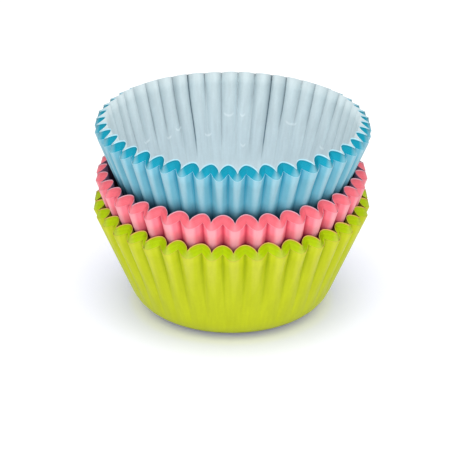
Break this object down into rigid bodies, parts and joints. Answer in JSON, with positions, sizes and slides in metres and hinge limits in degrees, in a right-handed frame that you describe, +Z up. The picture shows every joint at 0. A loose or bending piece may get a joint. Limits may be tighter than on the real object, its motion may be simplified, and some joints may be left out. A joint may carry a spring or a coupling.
{
  "type": "stack of cupcake liners",
  "caption": "Stack of fluted paper cupcake liners in lime green, pink and blue, bundles nested one in another with staggered scalloped rims.",
  "frame": {"origin": "centre of the lowest base, on the surface it stands on", "axes": "+Z up through the open mouths, -Y towards the side seen in the picture, +X to the viewer's right"},
  "size_m": [0.0787, 0.0788, 0.0579],
  "materials": {
    "lime_paper": "satin",
    "pink_paper": "satin",
    "blue_paper": "satin"
  },
  "bodies": {
    "root": {"lime_liners": "lime_paper", "pink_liners": "pink_paper", "blue_liners": "blue_paper"}
  },
  "joints": []
}
